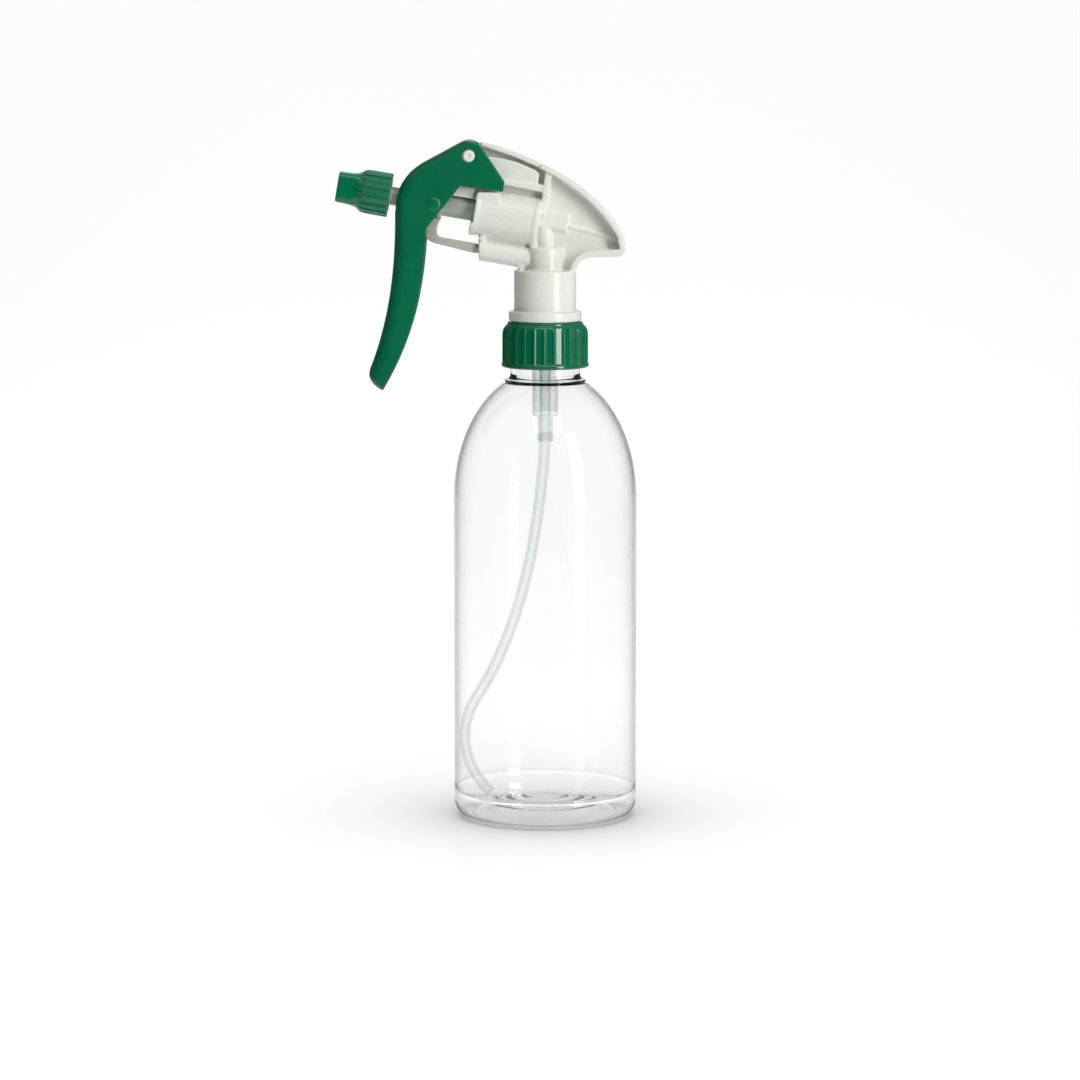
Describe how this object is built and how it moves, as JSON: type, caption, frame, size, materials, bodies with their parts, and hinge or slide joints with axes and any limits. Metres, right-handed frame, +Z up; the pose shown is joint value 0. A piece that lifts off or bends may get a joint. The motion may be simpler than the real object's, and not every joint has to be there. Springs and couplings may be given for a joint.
{
  "type": "trigger spray bottle",
  "caption": "Clear round bottle with a domed shoulder, ribbed screw closure and trigger pump head whose adjustable nozzle rides on the piston rod.",
  "frame": {"origin": "centre of the bottle's resting ring, on the plane it stands on", "axes": "+Z up along the bottle's axis, nozzle towards -X, trigger pivot along Y"},
  "size_m": [0.1099, 0.0672, 0.2481],
  "materials": {
    "pet_clear": "clear blown PET, glossy",
    "closure_green": "glossy moulded polypropylene",
    "trigger_green": "semi-gloss moulded polypropylene",
    "nozzle_green": "glossy moulded polypropylene",
    "housing_white": "satin moulded polypropylene, warm white",
    "rod_natural": "smooth polypropylene, light grey",
    "natural_clear": "translucent natural polyethylene",
    "seal_soft": "soft polyethylene foam",
    "seal_black": "black rubber",
    "spring_steel": "drawn stainless wire",
    "ball_steel": "polished stainless ball"
  },
  "bodies": {
    "bottle": {"bottle": "pet_clear"},
    "neck_seal": {"bottle_gasket": "seal_soft"},
    "closure": {"closure_cap": "closure_green"},
    "head": {"housing": "housing_white", "cylinder_bushing": "housing_white", "pivot_pin": "housing_white", "intake_insert": "natural_clear", "dip_tube": "natural_clear", "return_spring": "spring_steel"},
    "suction_valve": {"suction_ball": "ball_steel"},
    "trigger": {"trigger": "trigger_green"},
    "piston": {"piston_rod": "rod_natural", "piston_cup": "seal_soft", "vent_plunger": "housing_white", "swirl_core": "housing_white", "discharge_spring": "spring_steel"},
    "discharge_valve": {"discharge_ball": "ball_steel"},
    "nozzle_seal": {"nozzle_seal_ring": "seal_black"},
    "nozzle": {"nozzle_cap": "nozzle_green"}
  },
  "joints": [
    {"name": "unscrew_lift", "type": "slide", "parent": "bottle", "child": "neck_seal", "axis": [0, 0, 1], "range_m": [0, 0.00634]},
    {"name": "closure_turn", "type": "hinge", "parent": "neck_seal", "child": "closure", "pos_m": [0, 0, 0.1736], "axis": [0, 0, 1], "range_deg": [0, 540]},
    {"name": "head_swivel", "type": "hinge", "parent": "neck_seal", "child": "head", "pos_m": [0, 0, 0.1845], "axis": [0, 0, 1], "continuous": true},
    {"name": "trigger_pull", "type": "hinge", "parent": "head", "child": "trigger", "pos_m": [-0.0276, 0, 0.2425], "axis": [0, -1, 0], "range_deg": [0, 21.5]},
    {"name": "piston_stroke", "type": "slide", "parent": "head", "child": "piston", "axis": [0.9848, 0, -0.1736], "range_m": [0, 0.00794], "deforming": ["return_spring"]},
    {"name": "suction_ball_lift", "type": "slide", "parent": "head", "child": "suction_valve", "axis": [0, 0, 1], "range_m": [0, 0.0012]},
    {"name": "discharge_ball_lift", "type": "slide", "parent": "piston", "child": "discharge_valve", "axis": [-0.9848, 0, 0.1736], "range_m": [0, 0.0006], "deforming": ["discharge_spring"]},
    {"name": "nozzle_advance", "type": "slide", "parent": "piston", "child": "nozzle_seal", "axis": [-0.9848, 0, 0.1736], "range_m": [0, 0.00201]},
    {"name": "nozzle_turn", "type": "hinge", "parent": "nozzle_seal", "child": "nozzle", "pos_m": [-0.06681, 0, 0.22976], "axis": [-0.9848, 0, 0.1736], "range_deg": [0, 360]}
  ],
  "couplings": [
    {"joint": "closure_turn", "follows": "unscrew_lift", "rad_per_m": 1484.3},
    {"joint": "piston_stroke", "follows": "trigger_pull", "m_per_rad": 0.021122},
    {"joint": "nozzle_advance", "follows": "nozzle_turn", "m_per_rad": 0.00031831}
  ]
}
